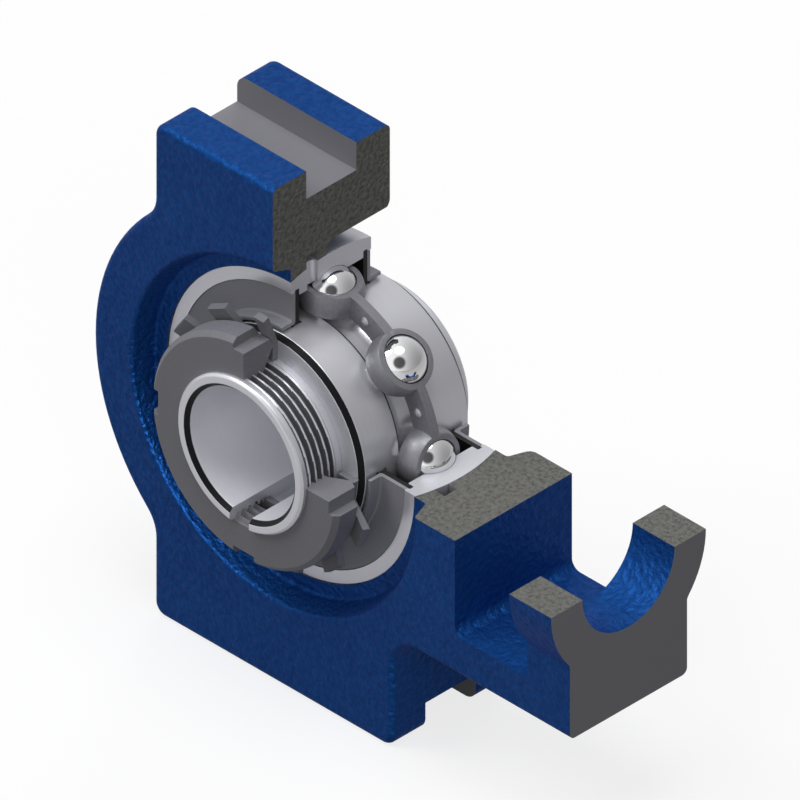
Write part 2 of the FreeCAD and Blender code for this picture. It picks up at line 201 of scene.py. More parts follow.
hang_lamp("ceiling_softbox", place=(0.05, -0.05, 1.60), width=1.0, watts=12.2)
hang_lamp("left_softbox", place=(-0.78, -0.72, 1.18), width=0.8, watts=8.2)
hang_lamp("front_fill", place=(0.84, -0.62, 0.62), width=0.8, watts=2.9, in_gloss=False)
hang_lamp("rear_fill", place=(-0.70, 1.25, 0.50), width=0.8, watts=6.0, in_gloss=False)

# The sheen lamp is seen only in the gloss of what is painted, and it brightens nothing else.
sheen_lamp = hang_lamp("paint_sheen", place=towards_camera * sheen_distance, width=1.6, watts=105.0)
sheen_lamp.visible_diffuse = False
painted_things = bpy.data.collections.new("painted_things")
sheen_lamp.light_linking.receiver_collection = painted_things

# Housing. One casting in grey iron: a block with a guide groove along its top and bottom, a round cheek and a
# slotted end for the take-up screw. It is painted all over in textured blue, then the grooves, the seat and
# the end face are machined bare, and the section is sawn out last.
paint_deep_and_hollow_shade = "#10366E"
paint_light = "#174787"
paint_gleam = "#3F8CFF"
paint_pebble = 1.05 * mm
paint_drift = 14 * mm
paint_drift_share = 0.3
paint_height = 0.42 * mm
iron_hollow_shade = "#525250"
iron_light = "#72726E"
iron_grain = 0.85 * mm
iron_height = 0.8 * mm
milled_grey = "#808086"
milling_feed = 2.827 * mm
milling_height = 0.004 * mm
wave_rate = 20
groove_half_width = 6.0 * mm
groove_floor = 45.0 * mm
seat_radius = 31.05 * mm
seat_half_width = 9.6 * mm
grease_groove_depth = 2.1 * mm
window_left = 43.5 * mm
window_right = 61.0 * mm
window_rim = 0.9 * mm
on_the_plane = 0.002 * mm
square_on = 0.99
sharp_degrees = 40
cad_welding_gap = 0.0005 * mm
cad_flat_degrees = 0.3


def copy_cad_node(node, name):
    """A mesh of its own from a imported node: its loose triangles are joined and the flat ones merged."""
    piece = bpy.data.objects.new(name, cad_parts[node].data.copy())
    bpy.context.scene.collection.objects.link(piece)
    bpy.ops.object.select_all(action="DESELECT")
    piece.select_set(True)
    bpy.context.view_layer.objects.active = piece
    piece.data.materials.clear()
    if piece.data.has_custom_normals:
        bpy.ops.mesh.customdata_custom_splitnormals_clear()
    bpy.ops.object.mode_set(mode="EDIT")
    bpy.ops.mesh.select_all(action="SELECT")
    bpy.ops.mesh.remove_doubles(threshold=cad_welding_gap)
    bpy.ops.mesh.dissolve_limited(angle_limit=math.radians(cad_flat_degrees))
    bpy.ops.object.mode_set(mode="OBJECT")
    return piece


def select_edges(piece, test):
    """Leaves the piece in edit mode with the edges selected that pass the test."""
    bpy.ops.object.mode_set(mode="EDIT")
    bpy.ops.mesh.select_mode(type="EDGE")
    bpy.ops.mesh.select_all(action="DESELECT")
    mesh = bmesh.from_edit_mesh(piece.data)
    for edge in mesh.edges:
        edge.select = test(edge)
    bmesh.update_edit_mesh(piece.data)


def is_sharp(edge):
    """Whether an edge has a face on each side and they meet at a sharp angle."""
    return edge.is_manifold and edge.calc_face_angle() > math.radians(sharp_degrees)


def smooth(piece, degrees=30):
    """Smooth shading up to a limit of angle, with flat faces kept flat by weighting them by their area."""
    bpy.ops.object.select_all(action="DESELECT")
    piece.select_set(True)
    bpy.context.view_layer.objects.active = piece
    bpy.ops.object.shade_smooth_by_angle(angle=math.radians(degrees))
    weighting = piece.modifiers.new("weighting", "WEIGHTED_NORMAL")
    weighting.keep_sharp = True
    bpy.ops.object.modifier_apply(modifier=weighting.name)


def lay_finish(piece, material, test=None):
    """Gives the material to the whole piece, or to the faces whose middle and normal pass the test."""
    piece.data.materials.append(material)
    number = len(piece.data.materials) - 1
    for face in piece.data.polygons:
        if test is None or test(face.center, face.normal):
            face.material_index = number


def new_finish(name, shader_values):
    """A material with its Principled shader set to values that are the same all over."""
    material = bpy.data.materials.new(name)
    material.use_nodes = True
    tree = material.node_tree
    tree.nodes.clear()
    shader = add_node(tree, "BsdfPrincipled", inputs=shader_values)
    add_node(tree, "OutputMaterial", inputs={"Surface": shader.outputs[0]})
    return material, tree, shader


def dress(tree, shader, pattern, deep=None, pale=None, *, rough, rough_span=(0.3, 0.7),
          tone=None, tone_span=(0, 1), relief=0.0):
    """Lets a pattern, or a tone of its own, blend two colours. The pattern's span sets the roughness, and its
    relief is a bump of real height."""
    if deep:
        share = add_node(tree, "MapRange", inputs={
            "Value": tone or pattern, "From Min": tone_span[0], "From Max": tone_span[1]}).outputs[0]
        base = add_node(tree, "Mix", {"data_type": "RGBA"}, {0: share, 6: colour(deep), 7: colour(pale)})
        tree.links.new(base.outputs[2], shader.inputs["Base Color"])
    spread = add_node(tree, "MapRange", inputs={
        "Value": pattern, "From Min": rough_span[0], "From Max": rough_span[1],
        "To Min": rough[0], "To Max": rough[1]}).outputs[0]
    tree.links.new(spread, shader.inputs["Roughness"])
    if relief:
        bump = add_node(tree, "Bump", inputs={"Strength": 1.0, "Distance": relief, "Height": pattern})
        tree.links.new(bump.outputs[0], shader.inputs["Normal"])


# Textured enamel over an as-cast skin: soft pebbles about a millimetre wide, their hollows duller and painted
# darker as the shade that falls in them, with slow drifts of tone.
paint, tree, shader = new_finish("textured_blue_enamel", {
    "Metallic": 0.3, "IOR": 1.5, "Specular IOR Level": 0.1, "Specular Tint": colour(paint_gleam)})
place = add_node(tree, "TexCoord").outputs["Object"]
pebbles = add_node(tree, "TexNoise", inputs={
    "Vector": place, "Scale": 1 / paint_pebble, "Detail": 2.5, "Roughness": 0.45}).outputs["Fac"]
drifts = add_node(tree, "TexNoise", inputs={"Vector": place, "Scale": 1 / paint_drift}).outputs["Fac"]
patches = add_node(tree, "Math", {"operation": "MULTIPLY_ADD"}, {
    0: drifts, 1: paint_drift_share, 2: pebbles}).outputs[0]
dress(tree, shader, pebbles, paint_deep_and_hollow_shade, paint_light, tone=patches, tone_span=(0.42, 0.86),
      rough=(0.5, 0.38), rough_span=(0.35, 0.65), relief=paint_height)

# Sawn grey cast iron: a torn, leathery grain whose hollows are painted darker, as the shade in its creases.
sawn_iron, tree, shader = new_finish("sawn_grey_iron", {
    "Metallic": 0.0, "IOR": 1.5, "Specular IOR Level": 0.1})
place = add_node(tree, "TexCoord").outputs["Object"]
grain = add_node(tree, "TexNoise", inputs={
    "Vector": place, "Scale": 1 / iron_grain, "Detail": 3.0, "Roughness": 0.6}).outputs["Fac"]
dress(tree, shader, grain, iron_hollow_shade, iron_light, tone_span=(0.32, 0.56),
      rough=(0.8, 0.6), relief=iron_height)

# Milled grey cast iron: flat and even, with faint feed lines. They are wider apart than real ones, to show.
# At scale 1 a wave texture runs through 20 radians in a metre.
milled_iron, tree, shader = new_finish("milled_grey_iron", {
    "Base Color": colour(milled_grey), "Metallic": 0.0, "IOR": 1.5, "Specular IOR Level": 0.15})
place = add_node(tree, "TexCoord").outputs["Object"]
lines = add_node(tree, "TexWave", {"bands_direction": "X"}, {
    "Vector": place, "Scale": math.tau / (wave_rate * milling_feed), "Distortion": 1.5,
    "Detail": 2.0}).outputs["Fac"]
dress(tree, shader, lines, rough=(0.42, 0.5), rough_span=(0, 1), relief=milling_height)

housing = copy_cad_node("housing", "blue_housing")
housing_low, housing_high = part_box("housing")


def on_window_rim(edge):
    """Edges round the mouths of the take-up window in the front and back faces."""
    middle = (edge.verts[0].co + edge.verts[1].co) / 2
    sides = (housing_low.y, housing_high.y)
    in_face = min(abs(v.co.y - side) for v in edge.verts for side in sides) < on_the_plane
    level = abs(edge.verts[0].co.y - edge.verts[1].co.y) < on_the_plane
    inside = window_left - on_the_plane < middle.x < window_right + on_the_plane
    below_section = middle.z < -on_the_plane
    return in_face and level and inside and below_section and is_sharp(edge)


def on_upright_cut(centre, normal):
    """Faces that the saw left on the upright plane through the shaft axis."""
    return abs(centre.x) < on_the_plane and normal.x > square_on


def on_section(centre, normal):
    """Faces that the saw left, on the upright and on the level plane through the shaft axis."""
    on_level_cut = abs(centre.z) < on_the_plane and normal.z > square_on
    return on_upright_cut(centre, normal) or on_level_cut


def was_milled(centre, normal):
    """Faces of the guide grooves, of the end for the take-up screw and of the bearing's seat."""
    in_groove = (abs(centre.z) > groove_floor - on_the_plane
                 and abs(centre.y) < groove_half_width + on_the_plane
                 and max(abs(normal.z), abs(normal.y)) > square_on)
    on_end = centre.x > housing_high.x - on_the_plane and normal.x > square_on
    in_seat = (math.hypot(centre.x, centre.z) < seat_radius + grease_groove_depth
               and abs(centre.y) < seat_half_width and not on_section(centre, normal))
    return in_groove or on_end or in_seat


select_edges(housing, on_window_rim)
bpy.ops.mesh.bevel(offset=window_rim, segments=3)
bpy.ops.object.mode_set(mode="OBJECT")
smooth(housing)
lay_finish(housing, paint)
lay_finish(housing, sawn_iron, on_section)
lay_finish(housing, milled_iron, was_milled)
painted_things.objects.link(housing)
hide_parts("housing")
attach(housing, "housing")

# Grease nipple. A small zinc-plated steel nipple, turned and with a rolled hexagon, screwed into the round
# cheek on the left so that grease reaches the groove behind the outer ring.
zinc_pale = "#B4B4A8"
zinc_deep = "#8A8A80"
zinc_mottle = 0.8 * mm
zinc_height = 0.01 * mm
nipple_edge_break = 0.1 * mm


def break_edges(piece, width):
    """Rounds the sharp edges by a small width, as a file or a tumbling drum does."""
    select_edges(piece, is_sharp)
    bpy.ops.mesh.bevel(offset=width, segments=2, clamp_overlap=True)
    bpy.ops.object.mode_set(mode="OBJECT")


# Zinc plate: pale and slightly yellow, mottled, with a satin shine.
zinc_plate, tree, shader = new_finish("zinc_plated_steel", {"Metallic": 1.0})
place = add_node(tree, "TexCoord").outputs["Object"]
mottle = add_node(tree, "TexNoise", inputs={"Vector": place, "Scale": 1 / zinc_mottle}).outputs["Fac"]
dress(tree, shader, mottle, zinc_deep, zinc_pale, rough=(0.4, 0.28), relief=zinc_height)

nipple = copy_cad_node("grease_nipple", "greasing_nipple")
break_edges(nipple, nipple_edge_break)
smooth(nipple)
lay_finish(nipple, zinc_plate)
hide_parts("grease_nipple")
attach(nipple, "housing")

# Outer ring. Hardened bearing steel, turned and then ground: a spherical outside that tilts in the housing,
# a deep raceway for the balls, a groove near each face for a seal and a hole for the grease. A quarter of it
# is sawn out with the housing's.
ring_steel_pale = "#DCDCE2"
ring_steel_deep = "#D5D5DB"
cut_steel_pale = "#D8D8DF"
cut_steel_deep = "#D0D0D7"
grinding_mark = 0.22 * mm
grinding_length = 6 * mm
grinding_height = 0.0012 * mm
lapping_haze = 0.5 * mm
lapping_height = 0.004 * mm
ring_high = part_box("outer_ring")[1]
ring_radius = ring_high.x
ring_half = ring_high.y
ring_land = 26.0 * mm
ring_lip = 26.9 * mm
seal_groove_floor = 27.4 * mm
seal_groove_wall = 0.85 * mm
seal_groove_width = 1.0 * mm
seal_groove_outer = ring_half - seal_groove_wall
seal_groove_inner = seal_groove_outer - seal_groove_width
ring_edge_break = 0.18 * mm
grease_hole_radius = 1.25 * mm
grease_hole_y = -4.5 * mm
ball_low, ball_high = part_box("ball_1")
pitch_radius = (ball_low.z + ball_high.z) / 2
ball_radius = (ball_high.z - ball_low.z) / 2
race_openness = 1.04
race_radius = race_openness * ball_radius
race_play = 0.04 * mm
race_steps = 28
outside_steps = 24
spin_step = 2
three_quarters = 270
whole_turn = 360
welding_gap = 0.002 * mm


def arc(middle_y, middle_radius, size, start, end, steps):
    """Points along a round stretch of a half section, its angles measured from the shaft's direction."""
    angles = [start + (end - start) * k / steps for k in range(steps + 1)]
    return [(middle_y + size * math.cos(a), middle_radius + size * math.sin(a)) for a in angles]


def turn_on_shaft(name, corners, sweep, edge_break, sharper_than=35):
    """A body turned about the shaft axis. Its half section is drawn above the axis as a closed chain of
    points (place along the shaft, radius). Corners sharper than some degrees are broken, and then it is
    spun to the left."""
    bpy.ops.object.select_all(action="DESELECT")
    bpy.ops.mesh.primitive_plane_add(size=mm)
    piece = bpy.context.object
    piece.name = name
    bpy.ops.object.mode_set(mode="EDIT")
    bpy.ops.mesh.select_mode(type="VERT")
    bpy.ops.mesh.select_all(action="SELECT")
    bpy.ops.mesh.merge(type="CENTER")
    bpy.ops.transform.translate(value=(0, *corners[0]))
    for here, there in zip(corners, corners[1:]):
        step = (0, there[0] - here[0], there[1] - here[1])
        bpy.ops.mesh.extrude_vertices_move(TRANSFORM_OT_translate={"value": step})
    bpy.ops.mesh.select_all(action="SELECT")
    bpy.ops.mesh.edge_face_add()
    mesh = bmesh.from_edit_mesh(piece.data)
    for vertex in mesh.verts:
        vertex.select = vertex.calc_edge_angle() > math.radians(sharper_than)
    mesh.select_flush(False)
    bmesh.update_edit_mesh(piece.data)
    bpy.ops.mesh.bevel(offset=edge_break, segments=2, affect="VERTICES")
    bpy.ops.mesh.select_all(action="SELECT")
    if sweep == whole_turn:
        bpy.ops.mesh.delete(type="ONLY_FACE")
        bpy.ops.mesh.select_all(action="SELECT")
    bpy.ops.mesh.spin(steps=round(sweep / spin_step), angle=math.radians(sweep), center=(0, 0, 0),
                      axis=(0, 1, 0))
    bpy.ops.mesh.select_all(action="SELECT")
    bpy.ops.mesh.remove_doubles(threshold=welding_gap)
    bpy.ops.mesh.normals_make_consistent(inside=False)
    bpy.ops.object.mode_set(mode="OBJECT")
    return piece


def cut_away(piece, tool):
    """Cuts the tool's shape out of the piece and removes the tool."""
    cutting = piece.modifiers.new("cutting", "BOOLEAN")
    cutting.operation = "DIFFERENCE"
    cutting.solver = "EXACT"
    cutting.object = tool
    bpy.ops.object.select_all(action="DESELECT")
    piece.select_set(True)
    bpy.context.view_layer.objects.active = piece
    bpy.ops.object.modifier_apply(modifier=cutting.name)
    bpy.data.objects.remove(tool)


def lathe_marks(tree, spacing, length=grinding_length):
    """Fine lines that run round the shaft axis, this far apart and about this long."""
    place = add_node(tree, "TexCoord").outputs["Object"]
    flat = add_node(tree, "VectorMath", {"operation": "MULTIPLY"}, {0: place, 1: (1, 0, 1)}).outputs[0]
    radius = add_node(tree, "VectorMath", {"operation": "LENGTH"}, {0: flat}).outputs["Value"]
    heading = add_node(tree, "VectorMath", {"operation": "NORMALIZE"}, {0: flat}).outputs[0]
    stretch = spacing * pitch_radius / length
    around = add_node(tree, "VectorMath", {"operation": "SCALE"}, {0: heading, "Scale": stretch}).outputs[0]
    split = add_node(tree, "SeparateXYZ", inputs={0: around}).outputs
    along = add_node(tree, "SeparateXYZ", inputs={0: place}).outputs["Y"]
    where = add_node(tree, "CombineXYZ", inputs={0: radius, 1: along, 2: split["X"]}).outputs[0]
    return add_node(tree, "TexNoise", {"noise_dimensions": "4D"}, {
        "Vector": where, "W": split["Z"], "Scale": 1 / spacing, "Detail": 1.0}).outputs["Fac"]


# Ground bearing steel: bright and cool, with grinding lines that run round the ring. They are drawn coarser
# than real ones, to show.
ground_steel, tree, shader = new_finish("ground_bearing_steel", {"Metallic": 0.55})
marks = lathe_marks(tree, grinding_mark)
dress(tree, shader, marks, ring_steel_deep, ring_steel_pale, rough=(0.34, 0.28), relief=grinding_height)

# Lapped bearing steel: the same steel, duller and greyer, on the sawn section and on the inner ring's ends.
cut_steel, tree, shader = new_finish("sawn_bearing_steel", {"Metallic": 0.4})
place = add_node(tree, "TexCoord").outputs["Object"]
haze = add_node(tree, "TexNoise", inputs={"Vector": place, "Scale": 1 / lapping_haze}).outputs["Fac"]
dress(tree, shader, haze, cut_steel_deep, cut_steel_pale, rough=(0.5, 0.42), relief=lapping_height)

edge_angle = math.asin(ring_half / ring_radius)
race_middle = pitch_radius + ball_radius + race_play - race_radius
race_angle = math.asin((ring_land - race_middle) / race_radius)
outside = arc(0, 0, ring_radius, math.pi / 2 + edge_angle, math.pi / 2 - edge_angle,
              outside_steps)
raceway = arc(0, race_middle, race_radius, race_angle, math.pi - race_angle, race_steps)
seal_groove = [
    (ring_half, ring_lip),
    (seal_groove_outer, ring_lip),
    (seal_groove_outer, seal_groove_floor),
    (seal_groove_inner, seal_groove_floor),
    (seal_groove_inner, ring_land)]
front_groove = [(-y, radius) for y, radius in reversed(seal_groove)]
outer_ring = turn_on_shaft("bearing_outer_ring", outside + seal_groove + raceway + front_groove,
                           three_quarters, ring_edge_break)
bpy.ops.mesh.primitive_cylinder_add(vertices=48, radius=grease_hole_radius, depth=2 * ring_radius,
                                    location=(0, grease_hole_y, ring_radius))
cut_away(outer_ring, bpy.context.object)
smooth(outer_ring)
lay_finish(outer_ring, ground_steel)
lay_finish(outer_ring, cut_steel, on_section)
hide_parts("outer_ring")
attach(outer_ring, "outer_ring")

# Seals. Behind each face of the outer ring sits a moulded rubber seal with two lips, and over it a pressed
# steel plate whose collar reaches out round the inner ring. Both pairs are alike, front and back.
plate_grey = "#8E8E94"
plate_blue_grey = "#9A9AA2"
pressing_length = 20 * mm
pressing_height = 0.002 * mm
seal_play = 0.05 * mm
plate_sheet = 0.7 * mm
plate_bend = 0.5 * mm
plate_rim = ring_lip - seal_play
plate_bore = 20.5 * mm
plate_sunk = 0.9 * mm
plate_inner_face = ring_half - plate_sunk
plate_outer_face = plate_inner_face + plate_sheet
plate_edge_break = 0.06 * mm
plate_bend_steps = 6
collar_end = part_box("rear_seal_plate")[1].y
rubber_black = "#0D0D0E"
rubber_skin = 0.25 * mm
rubber_skin_height = 0.008 * mm
rubber_inner_face = seal_groove_inner + seal_play
rubber_outer_face = seal_groove_outer - seal_play
rubber_rim = seal_groove_floor - seal_play
rubber_touch = 20.06 * mm
rubber_web = 20.3 * mm
rubber_shoulder_step = 0.25 * mm
rubber_shoulder = plate_bore + rubber_shoulder_step
rubber_edge_break = 0.04 * mm
lip_height = 0.45 * mm
lip_thickness = 0.3 * mm

# Phosphated pressed sheet: dark, even and nearly dull, slightly blue where the light rakes it.
seal_sheet, tree, shader = new_finish("phosphated_pressed_sheet", {
    "Metallic": 0.0, "Specular IOR Level": 0.3})
marks = lathe_marks(tree, grinding_mark, pressing_length)
dress(tree, shader, marks, plate_grey, plate_blue_grey, rough=(0.5, 0.42), relief=pressing_height)

# Moulded nitrile rubber: black with a fine matt skin, drawn coarse enough to show.
nitrile_rubber, tree, shader = new_finish("moulded_nitrile_rubber", {
    "Base Color": colour(rubber_black), "Metallic": 0.0, "IOR": 1.5})
place = add_node(tree, "TexCoord").outputs["Object"]
skin = add_node(tree, "TexNoise", inputs={"Vector": place, "Scale": 1 / rubber_skin}).outputs["Fac"]
dress(tree, shader, skin, rough=(0.6, 0.75), relief=rubber_skin_height)

plate_section = ([(plate_inner_face, plate_rim), (plate_outer_face, plate_rim)]
                 + arc(plate_outer_face + plate_bend, plate_bore + plate_sheet + plate_bend, plate_bend,
                       math.pi, 1.5 * math.pi, plate_bend_steps)
                 + [(collar_end, plate_bore + plate_sheet), (collar_end, plate_bore)]
                 + arc(plate_inner_face + plate_bend, plate_bore + plate_bend, plate_bend,
                       1.5 * math.pi, math.pi, plate_bend_steps))
rubber_section = [
    (rubber_inner_face, rubber_rim),
    (rubber_outer_face, rubber_rim),
    (rubber_outer_face, plate_bore - seal_play),
    (rubber_outer_face + lip_height, plate_bore - seal_play),
    (rubber_outer_face + lip_height + lip_thickness, rubber_touch),
    (rubber_outer_face + lip_height, rubber_touch),
    (rubber_outer_face, rubber_web),
    (rubber_inner_face, rubber_web),
    (rubber_inner_face - lip_height, rubber_touch),
    (rubber_inner_face - lip_height - lip_thickness, rubber_touch),
    (rubber_inner_face, rubber_shoulder)]
for side, way in (("front", -1), ("rear", 1)):
    plate = turn_on_shaft(side + "_seal_cover", [(way * y, radius) for y, radius in plate_section],
                          three_quarters, plate_edge_break, sharper_than=60)
    smooth(plate)
    lay_finish(plate, seal_sheet)
    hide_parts(side + "_seal_plate")
    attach(plate, "outer_ring")
    rubber = turn_on_shaft(side + "_rubber_seal", [(way * y, radius) for y, radius in rubber_section],
                           three_quarters, rubber_edge_break)
    smooth(rubber)
    lay_finish(rubber, nitrile_rubber)
    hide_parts(side + "_seal_lip")
    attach(rubber, "outer_ring")

# Inner ring. The same ground steel, left whole: wider than the outer ring, with a raceway in its outside and
# a tapered bore. Its outer chamfers are painted near black, as the shade and dark reflection they show.
inner_low, inner_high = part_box("inner_ring")
inner_land = inner_high.x
inner_front = inner_low.y
inner_back = inner_high.y
inner_chamfer = 1.0 * mm
inner_edge_break = 0.1 * mm
thread_radius = 15.0 * mm
cone_front = -14.0 * mm
cone_step = 0.25 * mm
cone_slope = 1 / 24
cone_play = 0.02 * mm
chamfer_shade_deep = "#0B0B0D"
chamfer_shade_black = "#16161A"
chamfer_mark_height = 0.002 * mm

# Painted shade: a blue-black laid on chamfers for the shade and dark reflection they show, on the inner ring
# and at the sleeve's mouth.
chamfer_shade, tree, shader = new_finish("painted_chamfer_shade", {
    "Metallic": 0.0, "IOR": 1.5, "Specular IOR Level": 0.15})
marks = lathe_marks(tree, grinding_mark)
dress(tree, shader, marks, chamfer_shade_deep, chamfer_shade_black, rough=(0.5, 0.4), relief=chamfer_mark_height)


def slants(normal):
    """Whether a face lies at about 45 degrees to the shaft, as a chamfer does."""
    return 0.6 < abs(normal.y) < 0.8


def cone_radius(y):
    """Radius of the taper that the sleeve and the inner ring share, at a place along the shaft."""
    return thread_radius + cone_step + (y - cone_front) * cone_slope


race_middle = pitch_radius - ball_radius - race_play + race_radius
race_angle = math.asin((race_middle - inner_land) / race_radius)
raceway = arc(0, race_middle, race_radius, math.pi + race_angle, 2 * math.pi - race_angle, race_steps)
inner_ring = turn_on_shaft("bearing_inner_ring", [
    (inner_front, cone_radius(inner_front) + cone_play),
    (inner_front, inner_land - inner_chamfer),
    (inner_front + inner_chamfer, inner_land)] + raceway + [
    (inner_back - inner_chamfer, inner_land),
    (inner_back, inner_land - inner_chamfer),
    (inner_back, cone_radius(inner_back) + cone_play)], whole_turn, inner_edge_break)
smooth(inner_ring)
lay_finish(inner_ring, ground_steel)
lay_finish(inner_ring, cut_steel, lambda c, n: abs(n.y) > square_on)
# The outer chamfers get the painted near-black shade.
lay_finish(inner_ring, chamfer_shade,
           lambda c, n: math.hypot(c.x, c.z) > inner_land - inner_chamfer and slants(n))
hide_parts("inner_ring")
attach(inner_ring, "shaft")

# Balls. Eight hardened steel balls, lapped until they mirror the room, all alike. Each starts as a cube whose
# faces are divided and blown out to a sphere, so there is no pole to catch the light.
ball_chrome = "#F2F2F4"
ball_count = 8
ball_divisions = 24
ball_haze = 0.4 * mm

# Lapped chrome steel: a mirror with the faintest haze.
lapped_steel, tree, shader = new_finish("lapped_chrome_steel", {
    "Base Color": colour(ball_chrome), "Metallic": 1.0})
place = add_node(tree, "TexCoord").outputs["Object"]
haze = add_node(tree, "TexNoise", inputs={"Vector": place, "Scale": 1 / ball_haze}).outputs["Fac"]
dress(tree, shader, haze, rough=(0.04, 0.09))

for number in range(1, ball_count + 1):
    ball_low, ball_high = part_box("ball_%d" % number)
    bpy.ops.object.select_all(action="DESELECT")
    bpy.ops.mesh.primitive_cube_add(size=ball_radius)
    ball = bpy.context.object
    ball.name = "bearing_ball_%d" % number
    bpy.ops.object.mode_set(mode="EDIT")
    bpy.ops.mesh.subdivide(number_cuts=ball_divisions)
    bpy.ops.object.mode_set(mode="OBJECT")
    for vertex in ball.data.vertices:
        vertex.co = vertex.co.normalized() * ball_radius + (ball_low + ball_high) / 2
    bpy.ops.object.shade_smooth()
    lay_finish(ball, lapped_steel)
    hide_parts("ball_%d" % number)
    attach(ball, "ball_%d" % number)

# Cage. Two steel ribbons pressed into cups and flats, front and back of the balls, touch at the flats and are
# riveted there. The sheet is tumbled after pressing, which rounds its edges and leaves it grey and satin.
cage_deep = "#828288"
cage_pale = "#95959C"
cage_cloud = 0.7 * mm
cage_cloud_height = 0.01 * mm
cage_edge_break = 0.16 * mm

# Tumbled pressed steel: mid grey, softly clouded.
tumbled_steel, tree, shader = new_finish("tumbled_pressed_steel", {"Metallic": 0.35})
place = add_node(tree, "TexCoord").outputs["Object"]
clouds = add_node(tree, "TexNoise", inputs={"Vector": place, "Scale": 1 / cage_cloud}).outputs["Fac"]
dress(tree, shader, clouds, cage_deep, cage_pale, rough=(0.46, 0.36), relief=cage_cloud_height)

for side in ("front", "rear"):
    ribbon = copy_cad_node("cage_%s_half" % side, side + "_cage_ribbon")
    break_edges(ribbon, cage_edge_break)
    smooth(ribbon, 40)
    lay_finish(ribbon, tumbled_steel)
    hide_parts("cage_%s_half" % side)
    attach(ribbon, "cage")

# Cage rivets. Eight short rivets of soft steel wire go through the flats of the two cage halves. A low round
# head is pressed on each of their ends.
rivet_deep = "#A8A8AE"
rivet_pale = "#C8C8CE"
rivet_dent = 0.5 * mm
rivet_dent_height = 0.01 * mm

# Headed steel wire: brighter than the cage, with a soft shine.
headed_wire, tree, shader = new_finish("headed_steel_wire", {"Metallic": 0.6})
place = add_node(tree, "TexCoord").outputs["Object"]
dents = add_node(tree, "TexNoise", inputs={"Vector": place, "Scale": 1 / rivet_dent}).outputs["Fac"]
dress(tree, shader, dents, rivet_deep, rivet_pale, rough=(0.4, 0.3), relief=rivet_dent_height)

rivets = copy_cad_node("cage_rivets", "cage_rivet_set")
smooth(rivets, 50)
lay_finish(rivets, headed_wire)
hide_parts("cage_rivets")
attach(rivets, "cage")

# Adapter sleeve. A turned steel sleeve, slit along the bottom so that it closes on the shaft: plain bore,
# taper under the inner ring, and a fine right-hand thread at the nut end.
sleeve_low, sleeve_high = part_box("adapter_sleeve")
sleeve_front = sleeve_low.y
sleeve_back = sleeve_high.y
sleeve_bore = 12.5 * mm
sleeve_chamfer = 0.8 * mm
sleeve_mouth = 0.85 * mm
sleeve_lead_in = 0.45 * mm
sleeve_edge_break = 0.06 * mm
sleeve_slit_half = 2.3 * mm
sleeve_pale = "#E2E2E9"
sleeve_deep = "#DADAE1"
bore_painted_light_pale = "#F4F4FA"
bore_painted_light_deep = "#ECECF3"
thread_pitch = 1.5 * mm
thread_depth = 0.92 * mm
thread_start_gap = 1.3 * mm
thread_end_gap = 0.1 * mm
thread_start = sleeve_front + thread_start_gap
thread_end = cone_front - thread_end_gap
thread_rows = 24
crest_share = 1 / 8
root_share = 1 / 4
flank_shade_deep = "#55555A"
flank_shade_pale = "#68686E"
flank_mottle_size = 0.6 * mm
shade_below_crest = 0.15 * mm
shade_above_bore = 0.2 * mm
turning_height = 0.0014 * mm


def thread_height(y, x, z):
    """Height of the thread at a place on the sleeve: one on its crests and nought at its roots."""
    phase = (y / thread_pitch - math.atan2(x, z) / math.tau) % 1
    flank = (1 - crest_share - root_share) / 2
    return min(1, max(0, (crest_share / 2 + flank - abs(phase - 0.5)) / flank))


def cut_thread(piece, plain_radius, depth, front, back=math.inf, within=on_the_plane):
    """Moves the points of a plain turned stretch towards the shaft axis, row by row, where the sleeve's
    thread has its roots. It runs in at the front over half a pitch, and out at the back over a quarter."""
    for vertex in piece.data.vertices:
        radius = math.hypot(vertex.co.x, vertex.co.z)
        if abs(radius - plain_radius) < within and front < vertex.co.y < back:
            run_in = (vertex.co.y - front) / (thread_pitch / 2)
            run_out = (back - vertex.co.y) / (thread_pitch / 4)
            sunk = depth * min(1, run_in, run_out)
            sunk *= 1 - thread_height(vertex.co.y, vertex.co.x, vertex.co.z)
            vertex.co.x *= 1 - sunk / radius
            vertex.co.z *= 1 - sunk / radius


def rows_between(front, back, radius):
    """Close rows of points along a plain stretch, for the thread."""
    count = round((back - front) / thread_pitch * thread_rows)
    return [(front + (back - front) * k / count, radius) for k in range(count + 1)]


# Turned steel: pale, with tool marks round it that are coarse enough to show.
turned_steel, tree, shader = new_finish("turned_steel", {"Metallic": 0.5})
marks = lathe_marks(tree, grinding_mark)
dress(tree, shader, marks, sleeve_deep, sleeve_pale, rough=(0.36, 0.3), relief=turning_height)

# Reamed bore: the same steel with a shallower, duller mark, painted paler and less metallic to lift the
# shade inside the bore.
painted_light_bore_steel, tree, shader = new_finish("painted_light_bore_steel", {"Metallic": 0.15})
marks = lathe_marks(tree, grinding_mark)
dress(tree, shader, marks, bore_painted_light_deep, bore_painted_light_pale, rough=(0.4, 0.32), relief=grinding_height)

# Thread flanks: the same steel painted darker, as the shade in the thread's grooves.
shaded_flanks, tree, shader = new_finish("thread_flanks_painted_shade", {"Metallic": 0.4})
place = add_node(tree, "TexCoord").outputs["Object"]
flank_mottle = add_node(tree, "TexNoise", inputs={"Vector": place, "Scale": 1 / flank_mottle_size}).outputs["Fac"]
dress(tree, shader, flank_mottle, flank_shade_deep, flank_shade_pale, rough=(0.5, 0.38))

